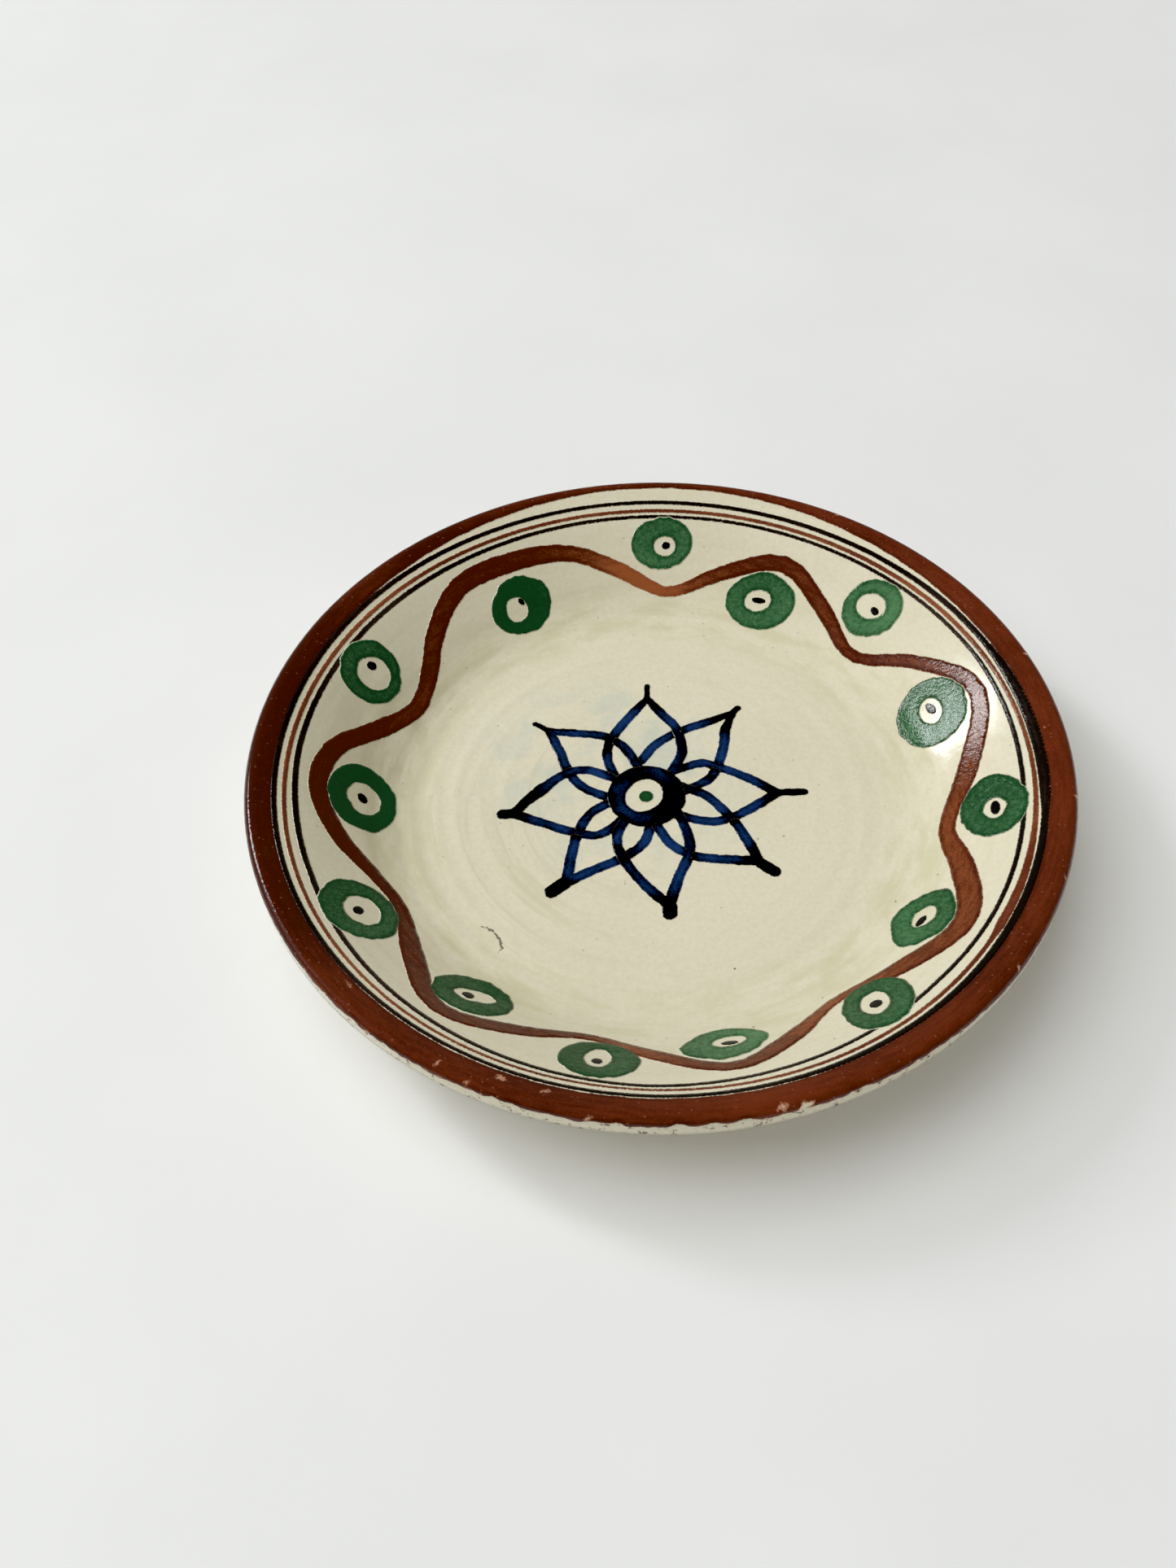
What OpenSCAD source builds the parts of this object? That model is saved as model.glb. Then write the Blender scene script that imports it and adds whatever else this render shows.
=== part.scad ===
// Hand painted ceramic plate: a thrown clay dish, a cream slip coat inside and outside, and brushed
// slip decoration (rim band, three lines, a wavy band with fourteen eyes, and an eight petal flower).
// Each coat and each brushed motif is a solid of its own, lying face to face on the one below it.
// The origin is the centre of the foot ring's base, +Z is up, and the lower petal points to -Y.

/* [Plate] */
// Diameter across the rim
plate_d = 260; // [230:5:290]
// Diameter of the flat part of the floor
floor_d = 148; // [130:2:150]
// Thickness of the floor, slip coat included
floor_t = 6.5; // [5:0.5:9]
// Slope of the inner wall, in degrees
wall_a = 36; // [32:1:38]
// Slope of the outer wall, in degrees
outer_a = 33; // [30:1:34]

/* [Foot ring] */
// Outer diameter of the foot ring
foot_d = 140; // [110:5:150]
// Width of the foot ring
foot_w = 9; // [6:1:14]
// Height of the foot ring
foot_h = 3.5; // [2.5:0.5:6]

/* [Lip] */
// Radius of the rounded top of the lip
lip_r = 2.5; // [2:0.5:3]
// Height of the upright face of the lip
lip_face_h = 3.5; // [2:0.5:5]

/* [Coats] */
// Thickness of the cream slip
slip_t = 0.8; // [0.4:0.1:1.2]
// Thickness of a brushed motif
paint_t = 0.4; // [0.2:0.1:0.6]

/* [Lines under the rim] */
// Width of the outer black line
outer_line_w = 1.4; // [0.8:0.2:2]
// Width of the brown line
brown_line_w = 1.2; // [0.6:0.2:2]
// Width of the inner black line
inner_line_w = 1.2; // [0.6:0.2:1.8]

/* [Flower] */
// Outer diameter of the dark ring at the flower's centre
flower_ring_d = 25; // [22:1:27]
// Diameter of the green dot in the middle
flower_dot_d = 5; // [3:0.5:7]

/* [Hidden] */
$fn = 180;

EYES = 14;
PETALS = 8;
function numbered(name, count) = [for (i = [1 : count]) str(name, "_", i)];

clay_colour = "#b98a6c";
slip_colour = "#dcd7bf";
brown_colour = "#5c2011";
black_colour = "#17120f";
blue_colour = "#10204f";
green_colour = "#23703d";

// ---- cross section, as [radius, height] ----
rim_r = plate_d / 2;
floor_r = floor_d / 2;
floor_z = foot_h + floor_t;
cove_r = 35;
flare_r = 70;
lip_a = 22;
under_lip_r = 2;
belly_r = 20;
arc_steps = 8;

// The wall runs straight between the cove at the floor and the flare at the rim.
wall_low = [floor_r + cove_r * sin(wall_a), floor_z + cove_r * (1 - cos(wall_a))];
wall_high_r = rim_r - flare_r * (sin(wall_a) - sin(lip_a)) - lip_r * (1 + sin(lip_a));
wall_high = [wall_high_r, wall_low[1] + (wall_high_r - wall_low[0]) * tan(wall_a)];
cove_centre = [floor_r, floor_z + cove_r];
flare_centre = wall_high + flare_r * [sin(wall_a), -cos(wall_a)];
lip_centre = flare_centre + (flare_r - lip_r) * [-sin(lip_a), cos(lip_a)];
plate_h = lip_centre[1] + lip_r;
face_low_z = lip_centre[1] - lip_face_h;

// The outer wall touches the round under the lip and the round of the belly.
under_lip_centre = [rim_r - under_lip_r, face_low_z];
outer_normal = [sin(outer_a), -cos(outer_a)];
outer_along = [cos(outer_a), sin(outer_a)];
belly_z = foot_h + belly_r - slip_t;
outer_high = under_lip_centre + under_lip_r * outer_normal;
outer_run = (outer_high[1] - belly_z - belly_r * outer_normal[1]) / outer_along[1];
outer_low = outer_high - outer_run * outer_along;
belly_centre = outer_low - belly_r * outer_normal;

function arc(centre, radius, from_a, to_a) = [
    for (i = [0 : arc_steps])
        let (a = from_a + (to_a - from_a) * i / arc_steps)
            centre + radius * [cos(a), sin(a)]
];

function reversed(points) = [for (i = [len(points) - 1 : -1 : 0]) points[i]];

// The glazed inside from the centre out over the lip, moved by depth into the wall.
function inside_curve(depth, lip_end_a) = concat(
    [[0, floor_z - depth]],
    arc(cove_centre, cove_r + depth, -90, wall_a - 90),
    arc(flare_centre, flare_r - depth, 90 + wall_a, 90 + lip_a),
    arc(lip_centre, lip_r - depth, 90 + lip_a, lip_end_a)
);

// The outside from under the lip to the end of the straight wall, moved by depth into the wall.
function outside_curve(depth) = concat(
    arc(under_lip_centre, under_lip_r - depth, 0, outer_a - 90),
    [outer_low - depth * outer_normal]
);

module revolved(points) {
    rotate_extrude() polygon(points);
}

// ---- clay and slip ----
foot_edge_r = 1.5;
foot_taper = 1.5;

function foot_outline() =
    let (
        outer = foot_d / 2,
        inner = outer - foot_w,
        outer_edge = [outer - foot_edge_r, foot_edge_r],
        inner_edge = [inner + foot_edge_r, foot_edge_r]
    )
    concat(
        [[outer + foot_taper, foot_h]],
        arc(outer_edge, foot_edge_r, 0, -90),
        arc(inner_edge, foot_edge_r, -90, -180),
        [[inner - foot_taper, foot_h], [0, foot_h]]
    );

module clay_body() {
    color(clay_colour)
        revolved(concat(
            inside_curve(slip_t, 0),
            outside_curve(slip_t),
            arc(belly_centre, belly_r - slip_t, outer_a - 90, -90),
            foot_outline()
        ));
}

module cream_slip_inside() {
    color(slip_colour)
        revolved(concat(
            inside_curve(0, 0),
            [[rim_r, face_low_z], [rim_r - slip_t, face_low_z]],
            reversed(inside_curve(slip_t, 0))
        ));
}

module cream_slip_outside() {
    color(slip_colour)
        revolved(concat(outside_curve(0), reversed(outside_curve(slip_t))));
}

// ---- brushed motifs on the wall ----
// Places and sizes are those of a plate 260 mm across, and grow and shrink with the plate.
art_scale = plate_d / 260;
paint_end_a = 25;

function around(a, r) = r * [cos(a), sin(a)];
function on_plate(points) = [for (p = points) art_scale * p];

// Keeps the part of the paint film that lies above a flat outline.
module painted() {
    intersection() {
        revolved(concat(inside_curve(-paint_t, paint_end_a), reversed(inside_curve(0, paint_end_a))));
        linear_extrude(plate_h + lip_r) children();
    }
}

// The band's inner edge keeps one radius, apart from the far side, where the brush ran thinner.
band_inner_r = 121.4;
band_gap = 4.4;
band_points = 120;

module rim_band() {
    edge = [
        for (i = [0 : band_points - 1])
            let (a = 360 * i / band_points)
                around(a, band_inner_r + band_gap * pow(max(0, sin(a)), 4))
    ];
    color(brown_colour)
        painted()
            difference() {
                circle(rim_r + lip_r);
                polygon(on_plate(edge));
            }
}

outer_line_r = 120.4;
brown_line_r = 117.9;
inner_line_r = 115.3;

module line_ring(line_r, line_w) {
    difference() {
        circle(line_r * art_scale + line_w / 2);
        circle(line_r * art_scale - line_w / 2);
    }
}

module outer_black_line() {
    color(black_colour) painted() line_ring(outer_line_r, outer_line_w);
}

module brown_line() {
    color(brown_colour) painted() line_ring(brown_line_r, brown_line_w);
}

module inner_black_line() {
    color(black_colour)
        painted()
            difference() {
                line_ring(inner_line_r, inner_line_w);
                for (eye = eyes) eye_outline(eye);
            }
}

// Wavy band: direction in degrees, distance from the centre and brush width, once round the plate.
wave = [
    [4, 101.6, 5.2], [18, 111.2, 3.8], [30, 103, 3.6], [42, 92.2, 2.8],
    [54, 99.6, 4], [65, 107.2, 4.2], [77, 99.9, 3.8], [88, 92.9, 2.4],
    [98, 99.8, 4], [108, 107.4, 4], [120, 109.6, 5], [131, 109.2, 4.8], [141, 101.4, 4.8],
    [148, 94.2, 4.6], [157, 90.2, 4.4], [168, 97.6, 4.8], [175, 105.6, 4.8],
    [185, 108.7, 5], [196, 102.3, 5], [203, 95.6, 4], [212, 92.1, 3.4],
    [224, 99.3, 6], [236, 109.1, 4.6], [247, 102.5, 4.6], [259, 95.3, 2.4],
    [271, 101.6, 4.4], [282, 109.5, 3.6], [292, 103.1, 4.8], [304, 95.7, 2],
    [317, 101.6, 5.2], [328, 107.8, 5.2], [341, 100, 5], [351, 93.7, 3.2]
];
wave_step_a = 3;

function turned(v, turns) = [v[0] + 360 * turns, v[1], v[2]];
function wave_knot(i) = let (n = len(wave)) turned(wave[(i + n) % n], floor(i / n));

// Smooth curve through four knots: value at direction a, between the second and the third.
function hermite(p0, p1, p2, p3, a) =
    let (
        gap = p2[0] - p1[0],
        t = (a - p1[0]) / gap,
        m1 = gap * (p2 - p0) / (p2[0] - p0[0]),
        m2 = gap * (p3 - p1) / (p3[0] - p1[0])
    )
    (2 * pow(t, 3) - 3 * pow(t, 2) + 1) * p1 + (pow(t, 3) - 2 * pow(t, 2) + t) * m1
    + (3 * pow(t, 2) - 2 * pow(t, 3)) * p2 + (pow(t, 3) - pow(t, 2)) * m2;

function wave_at(a, i = 0) =
    a < wave_knot(i + 1)[0]
        ? hermite(wave_knot(i - 1), wave_knot(i), wave_knot(i + 1), wave_knot(i + 2), a)
        : wave_at(a, i + 1);

function wave_place(a) = let (v = wave_at(a)) around(a, v[1]);

// Unit vector square to the band's own run, pointing away from the plate's centre.
function wave_normal(a) =
    let (run = wave_place(a + 1) - wave_place(a - 1))
        [run[1], -run[0]] / norm(run);

function wave_edge(side) = [
    for (a = [wave[0][0] + 1 : wave_step_a : wave[0][0] + 360])
        wave_place(a) + side * wave_at(a)[2] / 2 * wave_normal(a)
];

module wave_band() {
    color(brown_colour)
        painted()
            difference() {
                polygon(on_plate(wave_edge(1)));
                polygon(on_plate(wave_edge(-1)));
            }
}

// Eyes, all turns in degrees from +X. A spot is [x, y, length, width, turn, how pointed], with x and y
// from the eye's own centre, and an eye is [direction, distance, ring, hole, pupil].
eyes = [
    [353, 106.6, [0, 0, 25, 18.4, 92, 0.1], [0.2, -1, 8.2, 6.4, 90, 0], [0.4, -1, 5.8, 2.6, 88, 0.2]],
    [19, 97.5, [0, 0, 25, 21, 100, 0], [0, 0.8, 10.4, 6.8, 106, 0.1], [0, 1.6, 5, 2.2, 118, 0.2]],
    [45, 106.5, [0, 0, 21, 17.6, -35, 0], [-0.4, 0.8, 11, 8, -35, 0.1], [0.8, -1.2, 3.4, 2, -55, 0]],
    [67, 94.2, [0, 0, 25, 18.4, -14, 0.1], [-0.8, 0.8, 9.6, 6.8, -10, 0], [-0.4, 0.8, 5.2, 1.8, -18, 0.2]],
    [89.5, 107.5, [0, 0, 22.4, 15.6, 4, 0], [1, -0.8, 8.4, 6, 0, 0], [1.6, -0.6, 3, 2.2, 0, 0]],
    [121, 96.3, [0, 0, 23.6, 17.6, 40, 0.2], [-1.6, -1.6, 8.6, 7.4, 50, 0], [0, 1.6, 2.6, 2.4, 0, 0]],
    [157, 106.6, [0, 0, 23, 18.8, 76, 0], [0.8, 0, 12, 10.4, 70, 0], [0, 2.4, 3.4, 2.8, 45, 0]],
    [184.5, 95.8, [0, 0, 26.2, 20.4, 97, 0], [0.4, 0, 13, 10, 104, 0], [0, 0, 4, 2.8, 116, 0]],
    [212, 104.9, [0, 0, 25.4, 21.6, 125, 0], [0.8, 0.4, 12.6, 10.4, 120, 0], [-0.2, -0.2, 3.6, 3, 90, 0]],
    [237, 96.9, [0, 0, 24.4, 17, -18, 0], [0.8, 0, 13, 5.8, -8, 0.3], [-1.2, -0.2, 3.6, 2.8, -25, 0]],
    [262, 105.8, [0, 0, 23, 17.6, -3, 0], [-0.4, 0.8, 9, 8, 80, 0.1], [-0.6, -0.8, 3.2, 2.8, 0, 0]],
    [282, 97.8, [0, 0, 26, 14.8, 17, 0.3], [1.4, 1.2, 10.2, 5, 15, 0.1], [1.6, 0.4, 5.2, 2, 8, 0.2]],
    [307, 106.2, [0, 0, 24.6, 19, 67, 0.1], [-0.8, 0.4, 10.8, 8, 75, 0], [-0.6, -0.2, 4, 3.2, 45, 0]],
    [328, 95.7, [0, 0, 25.4, 16.8, 54, 0.3], [0.4, 0.8, 9.6, 6.2, 50, 0.2], [-0.6, -0.8, 5, 2.2, 52, 0.2]]
];
spot_step_a = 10;

function spot_points(spot) = [
    for (a = [0 : spot_step_a : 360 - spot_step_a])
        [spot[2] / 2 * cos(a), spot[3] / 2 * sin(a) * (1 - spot[5] * pow(cos(a), 2))]
];

module spot_outline(eye, spot) {
    translate(art_scale * (around(eye[0], eye[1]) + [spot[0], spot[1]]))
        rotate(spot[4])
            polygon(on_plate(spot_points(spot)));
}

module eye_outline(eye) {
    spot_outline(eye, eye[2]);
}

module green_eye(i) {
    color(green_colour)
        painted()
            difference() {
                eye_outline(eyes[i]);
                spot_outline(eyes[i], eyes[i][3]);
            }
}

module eye_pupil(i) {
    color(black_colour) painted() spot_outline(eyes[i], eyes[i][4]);
}

// ---- flower on the flat floor ----
flower_centre = [-3, 1.5];
dot_centre = [-3.2, 1.2];

// Petals, counted anticlockwise from +X. Each is [tip, left stroke, right stroke, tail width], and a
// stroke's points run from the throat, where the two strokes meet, down to the dark ring.
petals = [
    [[49, 4], [[40, 3.6], [30, 10], [21.5, 14], [15, 15.8], [5, 12]],
        [[40, 3.4], [33, -2], [25, -7], [17, -8.8], [6, -6]], 2],
    [[28, 41], [[26, 38.6], [17, 34], [8, 30], [0, 24], [-5.5, 16]],
        [[26, 38], [23.6, 31], [22.6, 22], [18.5, 10], [9, 3.5]], 2.4],
    [[-3.6, 51], [[-3.6, 45], [-10, 35.5], [-15.5, 26], [-16.5, 17], [-13, 8]],
        [[-3, 44.5], [2, 37.5], [6.8, 31], [8.6, 20], [4, 10]], 2.4],
    [[-42, 32.6], [[-37, 29.6], [-33, 20.5], [-29.5, 11.5], [-24, 4.5], [-14, 0]],
        [[-37, 29.4], [-28, 28.6], [-18, 27.4], [-11, 22.5], [-6, 14]], 2],
    [[-50.4, -7.2], [[-47, -7], [-38, -10.2], [-27, -14], [-18, -15], [-10, -8]],
        [[-46.6, -6.4], [-38.5, 3], [-30, 10.6], [-22, 12], [-13, 8]], 3],
    [[-32.4, -38], [[-28, -34], [-18, -28.4], [-10, -23.8], [-3.6, -18], [-1, -9]],
        [[-27.8, -33], [-26.8, -24], [-25, -14], [-21, -6], [-14, -1]], 3.6],
    [[5, -45], [[4.8, -42], [7.4, -32], [11, -22], [10.6, -14], [7, -5]],
        [[4.4, -42], [-3.4, -34], [-10, -24.6], [-12.4, -16], [-9.6, -8]], 3.8],
    [[38, -28.4], [[33.4, -25], [29.4, -15.5], [24.5, -7], [17, 1.6], [8, 6]],
        [[32.4, -24.4], [23, -24], [12.5, -22.8], [5, -18], [-0.5, -9]], 3]
];
stroke_w = 2.6;
stroke_steps = 5;

// A smooth curve through the points, with the same number of steps between each pair.
function curve(points) =
    let (last = len(points) - 1)
    concat(
        [
            for (i = [0 : last - 1], s = [0 : stroke_steps - 1])
                let (
                    before = points[max(i - 1, 0)],
                    after = points[min(i + 2, last)],
                    t = s / stroke_steps,
                    m1 = (points[i + 1] - before) / 2,
                    m2 = (after - points[i]) / 2
                )
                    (2 * pow(t, 3) - 3 * pow(t, 2) + 1) * points[i]
                    + (pow(t, 3) - 2 * pow(t, 2) + t) * m1
                    + (3 * pow(t, 2) - 2 * pow(t, 3)) * points[i + 1]
                    + (pow(t, 3) - pow(t, 2)) * m2
        ],
        [points[last]]
    );

// Unit vector to the left of a path at one of its points.
function left_of(path, i) =
    let (run = path[min(i + 1, len(path) - 1)] - path[max(i - 1, 0)])
        [-run[1], run[0]] / norm(run);

module stroke(points, width) {
    path = curve(points);
    left = [for (i = [0 : len(path) - 1]) path[i] + width / 2 * left_of(path, i)];
    right = [for (i = [0 : len(path) - 1]) path[i] - width / 2 * left_of(path, i)];
    polygon(on_plate(concat(left, reversed(right))));
    translate(art_scale * path[0]) circle(art_scale * width / 2);
}

module petal_outline(i) {
    petal = petals[i];
    throat = petal[1][0];
    stroke(petal[1], stroke_w);
    stroke(petal[2], stroke_w);
    stroke([petal[0], throat], petal[3]);
}

// A hairline is left open round each floor motif, so that two of them never overlap.
hairline = 0.02;

module on_floor() {
    translate([0, 0, floor_z]) linear_extrude(paint_t) offset(delta = -hairline) children();
}

// Every other petal was brushed last and lies whole. The ones between are cut where it crosses them.
module petal(i) {
    color(blue_colour)
        on_floor()
            difference() {
                petal_outline(i);
                translate(art_scale * flower_centre) circle(d = flower_ring_d);
                if (i % 2 == 1) {
                    petal_outline(i - 1);
                    petal_outline((i + 1) % PETALS);
                }
            }
}

// The bare spot inside the ring is a rounded drop with its point at the lower left.
flower_hole = [-0.8, 0.2, 15, 12.6, 62, 0];

module flower_ring() {
    color(blue_colour)
        on_floor()
            translate(art_scale * flower_centre)
                difference() {
                    circle(d = flower_ring_d);
                    translate(art_scale * [flower_hole[0], flower_hole[1]])
                        rotate(flower_hole[4])
                            polygon(on_plate(spot_points(flower_hole)));
                }
}

module flower_centre_dot() {
    color(green_colour)
        on_floor()
            translate(art_scale * dot_centre) circle(d = flower_dot_d);
}

clay_body();
cream_slip_inside();
cream_slip_outside();
rim_band();
outer_black_line();
brown_line();
inner_black_line();
wave_band();
for (i = [0 : EYES - 1]) {
    green_eye(i);
    eye_pupil(i);
}
for (i = [0 : PETALS - 1]) petal(i);
flower_ring();
flower_centre_dot();
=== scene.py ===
"""Looks of a hand painted ceramic plate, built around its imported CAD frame.

Lengths in this script are millimetres in the frame's own axes, and each mesh is made in metres.
The turned shapes are spun from the CAD nodes' own outlines, and every brushed motif is a thin film
over its CAD node's own outline, so the frame alone says where everything is.
"""

import math

import bpy
import numpy as np
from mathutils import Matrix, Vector
from mathutils.geometry import delaunay_2d_cdt
from mathutils.kdtree import KDTree


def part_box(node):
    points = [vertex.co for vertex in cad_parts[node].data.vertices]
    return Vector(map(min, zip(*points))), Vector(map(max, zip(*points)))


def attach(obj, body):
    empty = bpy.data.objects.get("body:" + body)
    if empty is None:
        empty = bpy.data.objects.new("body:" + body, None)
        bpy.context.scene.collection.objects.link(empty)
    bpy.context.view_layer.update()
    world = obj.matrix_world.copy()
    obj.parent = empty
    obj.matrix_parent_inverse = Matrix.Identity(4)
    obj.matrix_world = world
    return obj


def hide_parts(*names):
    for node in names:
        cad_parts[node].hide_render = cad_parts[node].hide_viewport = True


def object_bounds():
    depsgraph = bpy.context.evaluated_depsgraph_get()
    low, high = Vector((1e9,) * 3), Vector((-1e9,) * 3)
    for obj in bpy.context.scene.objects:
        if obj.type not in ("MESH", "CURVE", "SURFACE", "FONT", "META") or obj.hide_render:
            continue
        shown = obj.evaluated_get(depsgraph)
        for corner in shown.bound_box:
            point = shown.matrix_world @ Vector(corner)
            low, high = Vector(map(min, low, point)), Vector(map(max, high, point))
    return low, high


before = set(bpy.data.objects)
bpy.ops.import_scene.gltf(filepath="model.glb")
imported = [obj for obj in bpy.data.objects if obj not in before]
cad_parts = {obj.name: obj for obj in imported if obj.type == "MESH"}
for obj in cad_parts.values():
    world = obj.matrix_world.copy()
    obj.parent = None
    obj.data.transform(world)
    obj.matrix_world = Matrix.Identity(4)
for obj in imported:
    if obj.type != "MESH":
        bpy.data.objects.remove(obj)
cad_box = [list(corner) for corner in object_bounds()]

MM = 0.001
BODY = "root"
RIM_R = cad_box[1][0] / MM
TOP_Z = cad_box[1][2] / MM

EYES = 14
PETALS = 8

# Radius of the small disc that closes a spun piece round the axis.
HUB_R = 2


# ---- reading the frame ----

def cad_mesh(node):
    """Points and triangles of a CAD node, with the copies of each point joined."""
    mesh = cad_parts[node].data
    mesh.calc_loop_triangles()
    co = np.zeros(len(mesh.vertices) * 3)
    mesh.vertices.foreach_get("co", co)
    corners = np.zeros(len(mesh.loop_triangles) * 3, int)
    mesh.loop_triangles.foreach_get("vertices", corners)
    points, index = np.unique(np.round(co.reshape(-1, 3) / MM, 3), axis=0, return_inverse=True)
    return points, index.reshape(-1)[corners].reshape(-1, 3)


def sides(triangles):
    """Each triangle's three edges, as sorted pairs of point numbers."""
    pairs = np.concatenate([triangles[:, [0, 1]], triangles[:, [1, 2]], triangles[:, [2, 0]]])
    return np.sort(pairs, axis=1)


def chained(edges):
    """Joins edges end to end into chains of point numbers. An open chain starts at an end."""
    beside = {}
    for a, b in sorted(map(tuple, edges)):
        beside.setdefault(a, []).append(b)
        beside.setdefault(b, []).append(a)
    left = set(beside)
    chains = []
    while left:
        ends = [p for p in left if len(beside[p]) == 1]
        here = min(ends or left)
        chain = []
        while here is not None:
            chain.append(here)
            left.discard(here)
            here = next((p for p in beside[here] if p in left), None)
        chains.append(chain)
    return chains


def turned_outline(node):
    """The [radius, height] points that a turned CAD node was spun from, read off its seam at +X."""
    points, triangles = cad_mesh(node)
    near = 0.01
    on_seam = (np.abs(points[:, 1]) < near) & (points[:, 0] > -near)
    edges = [e for e in np.unique(sides(triangles), axis=0) if on_seam[e].all()]
    chain = points[chained(edges)[0]][:, [0, 2]]
    return chain if chain[0, 1] > chain[-1, 1] else chain[::-1]


def without_spikes(loop):
    """A loop without the points where it turns straight back, which a sliver triangle leaves."""
    narrowest = 0.02
    across = np.linalg.norm(np.roll(loop, 1, 0) - np.roll(loop, -1, 0), axis=1)
    return loop[across > narrowest]


def top_outlines(node):
    """Closed outlines of a CAD node's upper face, seen from above."""
    points, triangles = cad_mesh(node)
    steepest = 0.25
    a, b, c = (points[triangles[:, k]] for k in range(3))
    normal = np.cross(b - a, c - a)
    facing_up = normal[:, 2] > steepest * np.linalg.norm(normal, axis=1)
    edges, count = np.unique(sides(triangles[facing_up]), axis=0, return_counts=True)
    return [without_spikes(points[chain][:, :2]) for chain in chained(edges[count == 1])]


# ---- curves and smooth randomness ----

def waves(seed, count, low, high):
    """Makes a smooth random function of position, about -1 to 1, from plane waves low to high mm long."""
    draw = np.random.default_rng(seed)
    heading = draw.uniform(0, 2 * math.pi, count)
    number = 2 * math.pi / np.exp(draw.uniform(math.log(low), math.log(high), count))
    phase = draw.uniform(0, 2 * math.pi, count)

    def value(x, y):
        total = 0
        for h, k, p in zip(heading, number, phase):
            total = total + np.sin(k * (x * math.cos(h) + y * math.sin(h)) + p)
        return total / math.sqrt(2 * count)

    return value


def bump(value, centre, width):
    """1 at the centre, falling smoothly to 0 at about two widths."""
    return np.exp(-(((value - centre) / width) ** 2))


def smoothstep(low, high, value):
    t = np.clip((value - low) / (high - low), 0, 1)
    return t * t * (3 - 2 * t)


def turn_between(a, b):
    """Degrees from direction b to direction a, from -180 to 180."""
    return (a - b + 180) % 360 - 180


def resampled(points, step, closed):
    """Points at an even step along a path."""
    path = np.vstack([points, points[:1]]) if closed else np.asarray(points)
    run = np.concatenate([[0], np.cumsum(np.linalg.norm(np.diff(path, axis=0), axis=1))])
    count = max(int(round(run[-1] / step)), 8)
    at = np.linspace(0, run[-1], count + 1)
    even = np.stack([np.interp(at, run, path[:, k]) for k in range(path.shape[1])], 1)
    return even[:-1] if closed else even


def relaxed(loop, rounds):
    """A closed loop with its corners eased."""
    for _ in range(rounds):
        loop = 0.5 * loop + 0.25 * (np.roll(loop, 1, 0) + np.roll(loop, -1, 0))
    return loop


def outward(loop):
    """Unit vectors pointing out of a loop that runs anticlockwise."""
    run = np.roll(loop, -1, 0) - np.roll(loop, 1, 0)
    run /= np.linalg.norm(run, axis=1)[:, None]
    return np.stack([run[:, 1], -run[:, 0]], 1)


def signed_area(loop):
    x, y = loop[:, 0], loop[:, 1]
    return 0.5 * np.sum(x * np.roll(y, -1) - y * np.roll(x, -1))


# ---- meshes ----

def make_piece(name, points, faces, attributes=None, smooth=True):
    """A mesh object in the row frame from points in mm. Attributes are one value or vector a point."""
    mesh = bpy.data.meshes.new(name)
    mesh.from_pydata((np.asarray(points) * MM).tolist(), [], [list(map(int, f)) for f in faces])
    mesh.validate()
    for key, values in (attributes or {}).items():
        values = np.asarray(values, np.float32)
        kind, field = ("FLOAT_VECTOR", "vector") if values.ndim == 2 else ("FLOAT", "value")
        mesh.attributes.new(key, kind, "POINT").data.foreach_set(field, values.ravel())
    if smooth:
        mesh.polygons.foreach_set("use_smooth", [True] * len(mesh.polygons))
    piece = bpy.data.objects.new(name, mesh)
    bpy.context.scene.collection.objects.link(piece)
    return piece


def place(piece, slot, material, *nodes):
    """Puts a finished piece on the frame in place of its CAD nodes."""
    piece.data.materials.append(material)
    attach(piece, BODY)
    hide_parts(*nodes)


# ---- the glazed inside ----

inside_chain = turned_outline("cream_slip_inside")
lip_top = int(np.argmax(inside_chain[:, 1]))
on_outer_face = inside_chain[:, 0] >= RIM_R - 1
lip_low = int(np.argmin(np.where(on_outer_face, inside_chain[:, 1], TOP_Z)))
floor_z = inside_chain[0, 1]
# From the centre over the floor, up the wall and out to just past the top of the lip.
past_lip = lip_top + 4
inside_r = np.concatenate([[0], inside_chain[:past_lip, 0]])
inside_z = np.concatenate([[floor_z], inside_chain[:past_lip, 1]])
# The same curve at every 0.1 mm, with its facets smoothed away except at the lip.
fine_r = np.arange(0, inside_r[-1], 0.1)
fine_z = np.interp(fine_r, inside_r, inside_z)
kernel = np.hanning(25)
smoothed = slice(20, -40)
fine_z[smoothed] = np.convolve(fine_z, kernel / kernel.sum(), "same")[smoothed]

warp = waves(3, 7, 90, 260)
dimples = waves(4, 24, 14, 40)

# Throwing rings, as [radius, height, half width] in mm. The finger's rings wind outward in a spiral,
# and the tool's rings are round.
FINGER_RINGS = [
    [53, 0.18, 1.8], [62, 0.22, 1.6], [69, 0.3, 1.8], [76.5, 0.26, 2], [83, 0.24, 1.5], [91, 0.2, 1.6],
]
TOOL_RINGS = [[86, -0.3, 2.4], [98, 0.18, 2.2]]


def relief(x, y):
    """How far the wheel and the fingers left the inside off its turned outline, in mm."""
    r = np.hypot(x, y)
    a = np.degrees(np.arctan2(y, x))
    spiral = r + 1.4 * np.sin(np.radians(a + 40)) + a / 360 * 6
    strength = 0.35 + 0.65 * bump(turn_between(a, 205), 0, 75)
    rings = sum(high * bump(spiral, at, wide) for at, high, wide in FINGER_RINGS)
    rings = rings + sum(high * bump(r, at, wide) for at, high, wide in TOOL_RINGS)
    fade = smoothstep(RIM_R, 0.93 * RIM_R, r)
    return fade * (strength * rings + 0.16 * warp(x, y) + 0.035 * dimples(x, y))


def glaze_z(x, y):
    """Height of the glazed inside."""
    return np.interp(np.hypot(x, y), fine_r, fine_z) + relief(x, y)


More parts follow.
